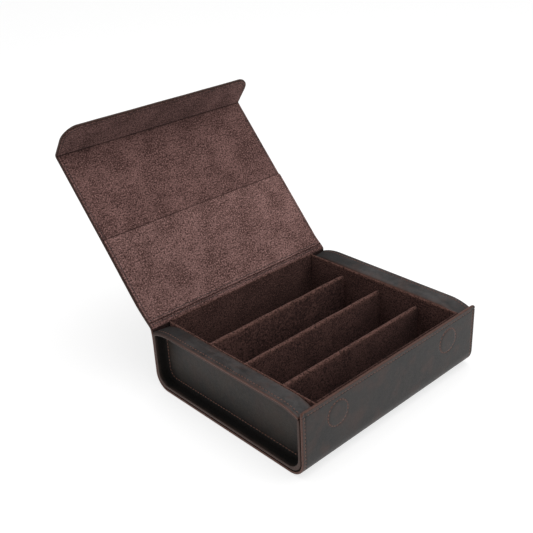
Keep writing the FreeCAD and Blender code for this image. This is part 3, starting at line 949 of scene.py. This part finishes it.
def end_ring(x, side, top, radius, flat_top=None):
    """Points round an end of the box at x: side in from its front, bottom and back, top under the crown."""
    y0, y1, z0 = gusset_low.y + side, gusset_high.y - side, gusset_low.z + side
    low = z0 + radius

    def ceiling(y):
        return flat_top - top if flat_top is not None else crown(x, y, top)

    def corner(y, start):
        turns = [math.radians(start + 90 * k / 12) for k in range(12)]
        return [(y + radius * math.cos(a), low + radius * math.sin(a)) for a in turns]

    ring = [(y0, ceiling(y0) + (low - ceiling(y0)) * k / 20) for k in range(20)]
    ring += corner(y0 + radius, 180)
    ring += [(y0 + radius + (y1 - y0 - 2 * radius) * k / 56, z0) for k in range(56)]
    ring += corner(y1 - radius, 270)
    ring += [(y1, low + (ceiling(y1) - low) * k / 20) for k in range(20)]
    tops = [y1 + (y0 - y1) * k / 64 for k in range(64)]
    ring += [(y, ceiling(y)) for y in tops]
    return [Vector((x, y, z)) for y, z in ring]


def flipped(rings, side):
    """Rings made for the right end, mirrored if side is -1."""
    return [[Vector((p.x * side, p.y, p.z)) for p in ring] for ring in rings]


PANEL_X = half_length - 9.5
GUSSET = 2.0


def gusset(side, label):
    """A dished leather end: an edge sewn inside the wrap, a deep side and a flat sunk panel."""
    rim_x, back_x = gusset_high.x, gusset_low.x
    e = 0.55
    # Each ring of the plan: x, side inset, top inset, radius, cut edge, distance from the cut edge.
    plan = [(back_x, 0.05, 2.05, 10.4, 0.0, 12.0), (rim_x - 1.6, 0.05, 2.05, 10.4, 0.0, 4.0)]
    swell = 0.55
    for along, inward in quarter(e, (0, 30, 60, 90)):
        plan.append((rim_x - e + along, inward - swell, 2.05 + 0.4 * inward, 10.9, 1.0, 0.0))
    for along, inward in quarter(e, (90, 60, 30, 0)):
        cut = 1.0 if along > 0.7 * e else 0.0
        plan.append((rim_x - e + along, GUSSET - inward, 3.4 - 0.4 * inward, 10.8, cut, 0.3))
    for x, out in ((rim_x - 1.5, 1.0), (rim_x - 3.0, 2.5), (rim_x - 5.0, 4.5), (PANEL_X + 2.6, 7.0)):
        plan.append((x, GUSSET + 0.04 * out, 3.4 + 0.02 * out, 10.8, 0.0, out))
    fillet = 1.9
    side_start, top_start = GUSSET + 0.3, 3.5
    for along, inward in quarter(fillet, (15, 35, 55, 75, 90)):
        radius = max(8.5, 10.8 - inward)
        plan.append((PANEL_X + fillet - along, side_start + inward, top_start + inward, radius, 0.0, 9.0))
    corner_in, corner_top = side_start + fillet, top_start + fillet
    pressed = ((0.5, 0.0), (1.0, -0.18), (1.4, -0.34), (1.8, -0.18), (2.4, 0.06), (4.0, 0.12), (7.0, 0.10),
               (11.0, 0.12), (15.0, 0.12), (18.5, 0.12))
    for step, lift in pressed:
        radius = max(1.0, 9.0 - step * 0.8)
        plan.append((PANEL_X + lift, corner_in + step, corner_top + step, radius, 0.0, 11.0 + step))
    rings, edge, inset, dark = [], [], [], []
    for x, side_in, top_in, radius, cut, out in plan:
        ring = end_ring(x, side_in, top_in, radius)
        if out > 10:
            ring = [p + Vector((0.16 * ripple(p.y, p.z, 30, side * 3.1), 0, 0)) for p in ring]
        rings.append(ring)
        edge += [cut] * len(ring)
        inset += [out] * len(ring)
        # Painted shade: the recess's deep sides are darkened nearly to black, partly also the leather's own
        # dark tone there, and the sunk panel is darker towards its bottom.
        deep = 0.9 * smooth((out - 0.2) / 2.5) * (1.0 - smooth((out - 9.0) / 3.0))
        low = 0.50 * smooth((out - 9.0) / 3.0)
        dark += [max(deep, low * smooth((40 - p.z) / 34)) for p in ring]
    piece = loft(f"gusset_leather_{label}", flipped(rings, side),
                 {"edge": edge, "inset": inset, "dark": dark}, end_leather)
    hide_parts(f"gusset_{label}")
    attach(piece, "base")

    def panel(y, z):
        return Vector((side * (PANEL_X - 0.20), y, z)), Vector((side, 0, 0))

    row = end_ring(PANEL_X, corner_in + 1.4, corner_top + 1.4, 7.9)
    return [(panel, [(p.y, p.z) for p in row])]


def tray_wall(side, label):
    """A suede-covered wall at an end of the tray, with a soft turned top edge."""
    x0, x1 = wall_low.x + 0.02, wall_high.x - 0.02
    e, top = 0.85, wall_high.z
    plan = [(x1, 18.0, 0.0), (x1, 6.0, 0.0), (x1, e, 0.4)]  # x, inset, how much of the rim's tone
    for along, inward in quarter(1.0, (65, 40, 20, 0, -20, -40, -65)):
        plan.append(((x0 + x1) / 2 + (x1 - x0) / 2 * along, e * inward, 1.0))
    plan += [(x0, e, 0.8), (x0, 2.2, 0.25)] + [(x0, inset, 0.0) for inset in (4.0, 8.0, 13.0, 19.0)]
    rings, edge = [], []
    for x, inset, light in plan:
        ring = end_ring(x, inset, inset, max(0.8, 10.4 - inset * 0.5), top)
        if light < 0.5:
            ring = [p + Vector((0.14 * ripple(p.y, p.z, 20, 4.4 + side), 0, 0)) for p in ring]
        rings.append(ring)
        edge += [light if p.z > top - 5 else 0.0 for p in ring]
    piece = loft(f"tray_wall_suede_{label}", flipped(rings, side), {"edge": edge}, tray_suede)
    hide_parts(f"tray_wall_{label}")
    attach(piece, "base")


def shoulder(side, label):
    """A leather cap over an end of the box, bent down at its ends and sloping towards the tray."""
    width = (shoulder_high.x - shoulder_low.x) / 2
    middle = side * (shoulder_high.x + shoulder_low.x) / 2
    front_end, back_end = shoulder_low.y, shoulder_high.y

    def tangent(over):
        return CROWN_BEND * math.tan(math.asin(over / CROWN_BEND) / 2)

    corners = [
        (back_end, crown(half_length, back_end, 0.0)),
        (CROWN_BACK + tangent(back_end - CROWN_BACK), CROWN_HEIGHT, CROWN_BEND - 0.01),
        (CROWN_FRONT - tangent(CROWN_FRONT - front_end), CROWN_HEIGHT, CROWN_BEND - 0.01),
        (front_end, crown(half_length, front_end, 0.0)),
    ]

    def relief(x, d):
        inset = half_length - abs(x)
        height = -inset * CROWN_TILT + 0.14 * ripple(x, d, 26, 5.0 + side)
        height += groove(inset, SHOULDER_ROW, 0.22, 0.5)
        inner = abs(x) - shoulder_low.x
        return height - 0.5 * smooth((1.6 - inner) / 1.6) - 0.35 * smooth((1.8 - inset) / 1.8)

    sheet = Sheet(corners, 1.95, middle, relief)
    # dark is painted shade: each shoulder gets darker towards its back end, under the open lid.
    piece = sheet_piece(
        f"shoulder_leather_{label}", sheet, width, top_leather, edge=0.75, step=1.8, across=1.4,
        insets=(1.1, 1.6, 2.4, 3.0, 3.6, 4.2, 5.2), dark=lambda x, d: 0.75 * smooth((75 - d) / 75),
    )
    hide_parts(f"shoulder_{label}")
    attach(piece, "base")
    row = side * (half_length - SHOULDER_ROW)
    return [(sheet.outside, [(row, 3.0), (row, sheet.length - 3.0)])]


end_runs = []
for side, label in ((-1, "left"), (1, "right")):
    end_runs += gusset(side, label)
    end_runs += shoulder(side, label)
    tray_wall(side, label)

# ---- stitches

row_x = half_length - ROW
base_runs = list(end_runs)
for side in (-1, 1):
    base_runs.append((wrap.outside, [(side * row_x, TOP_ROW), (side * row_x, box_end)]))
base_runs.append((wrap.outside, [(-row_x + 2, TOP_ROW), (row_x - 2, TOP_ROW)]))
turns = [2 * math.pi * k / 60 for k in range(61)]
for middle in (-magnet_middle.x, magnet_middle.x):
    circle = [(middle + CIRCLE * math.cos(a), circle_d + CIRCLE * math.sin(a)) for a in turns]
    base_runs.append((wrap.outside, circle))
base_thread = stitches("box_stitches", base_runs, light_thread, radius=0.31)

lid_runs = []
for side in (-1, 1):
    x = side * row_x
    lid_runs.append((wrap.outside, [(x, lid_start + 9), (x, wrap.length)]))
    lid_runs.append((lid_lining.outside, [(x, 0.5), (x, lid_end - POCKET_REACH - 1)]))
    lid_runs.append((pocket.outside, [(x, 1.5), (x, pocket.length - 4)]))
foot = pocket.length - FOOT_ROW
lid_runs.append((pocket.outside, [(-row_x, foot), (row_x, foot)]))
lid_thread = stitches("lid_stitches", lid_runs, dark_thread)

hinge_runs = [
    (lid_lining.outside, [(-row_x, hinge_row_d), (row_x, hinge_row_d)]),
    (wrap.outside, [(-row_x, lid_start + HINGE_ROW), (row_x, lid_start + HINGE_ROW)]),
]
hinge_thread = stitches("hinge_stitches", hinge_runs, dark_thread)


def flap_line(surface, start, end):
    """The sewn line round the flap's two sides and tip."""
    radius, direction = FLAP_CORNER - ROW, math.copysign(1, end - start)
    half = [(-row_x, start)]
    for along, inward in quarter(radius, [90 * k / 8 for k in range(9)]):
        half.append((inward - row_x, end - direction * (radius - along)))
    return surface, half + [(-x, d) for x, d in reversed(half)]


flap_runs = [
    flap_line(flap_outside.outside, flap_tip - FLAP_LENGTH + 7, flap_tip - ROW),
    flap_line(flap_suede.outside, crease_at - 7, ROW - SUEDE_EDGE),
]
flap_thread = stitches("flap_stitches", flap_runs, dark_thread, radius=0.22)

# ---- what moves with what

hinge_span = (row_point((back, 44.0)), row_point(lid_point(8.0, LID_OUTSIDE)))
crease_span = (row_point(lid_point(lid_reach - 6, LID_LINING)), row_point(flap_point(6, 0.0)))
for piece in (wrap_piece, lid_lining_piece, hinge_thread):
    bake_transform(piece)
for piece in (flap_piece, flap_suede_piece):
    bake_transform(piece)
for piece in (tray_piece, layer_piece, base_thread):
    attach(piece, "base")
for piece in (pocket_piece, lid_thread):
    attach(piece, "lid")
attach(flap_thread, "flap")

# ---- floor, light and camera

floor_mesh = bpy.data.meshes.new("studio_floor")
floor_mesh.from_pydata([(-6, -6, 0), (6, -6, 0), (6, 6, 0), (-6, 6, 0)], [], [(0, 1, 2, 3)])
floor = bpy.data.objects.new("studio_floor", floor_mesh)
floor.location.z = -0.0003
bpy.context.scene.collection.objects.link(floor)
paper = bpy.data.materials.new("studio_paper")
paper.use_nodes = True
paper_look = {
    "Base Color": (0.45, 0.45, 0.45, 1), "Roughness": 0.9, "Specular IOR Level": 0.1,
    "Emission Color": (1, 1, 1, 1), "Emission Strength": 0.70,
}
for key, value in paper_look.items():
    paper.node_tree.nodes["Principled BSDF"].inputs[key].default_value = value
floor_mesh.materials.append(paper)

world = bpy.data.worlds.new("studio")
world.use_nodes = True
sky = world.node_tree.nodes["Background"].inputs
sky["Color"].default_value, sky["Strength"].default_value = (1, 1, 1, 1), 0.58
bpy.context.scene.world = world


def softbox(name, place, aim, size, power):
    """A square area light at place, facing aim."""
    light = bpy.data.lights.new(name, "AREA")
    light.shape = "SQUARE"
    light.size = size
    light.energy = power
    lamp = bpy.data.objects.new(name, light)
    lamp.location = place
    lamp.rotation_mode = "QUATERNION"
    lamp.rotation_quaternion = (Vector(aim) - Vector(place)).to_track_quat("-Z", "Y")
    bpy.context.scene.collection.objects.link(lamp)


centre = (0.0, 0.03, 0.05)
softbox("overhead_softbox", (0.15, -0.1, 1.3), centre, 1.1, 6.0)
softbox("front_softbox", (0.9, -1.1, 0.9), centre, 0.8, 2.8)
bpy.context.scene.view_settings.view_transform = "Standard"

azimuth, elevation, roll = (math.radians(a) for a in (-42.06, 26.88, -2.93))
back_way = Vector((
    math.sin(azimuth) * math.cos(elevation),
    -math.cos(azimuth) * math.cos(elevation),
    math.sin(elevation),
))
level = Vector((0, 0, 1)).cross(back_way).normalized()
upright = back_way.cross(level)
right = level * math.cos(roll) + upright * math.sin(roll)
up = upright * math.cos(roll) - level * math.sin(roll)
origin_seen = Vector((41.68, 92.02, 716.13)) * MM
place = -(right * origin_seen.x - up * origin_seen.y - back_way * origin_seen.z)
camera_data = bpy.data.cameras.new("camera")
SENSOR, FOCAL_PX, PHOTO_PX = 36.0, 839.91, 533
camera_data.sensor_width = SENSOR
camera_data.lens = FOCAL_PX / PHOTO_PX * SENSOR
camera_data.clip_start, camera_data.clip_end = 0.01, 50.0
camera = bpy.data.objects.new("camera", camera_data)
camera.matrix_world = Matrix((
    (right.x, up.x, back_way.x, place.x),
    (right.y, up.y, back_way.y, place.y),
    (right.z, up.z, back_way.z, place.z),
    (0, 0, 0, 1),
))
bpy.context.scene.collection.objects.link(camera)
bpy.context.scene.camera = camera
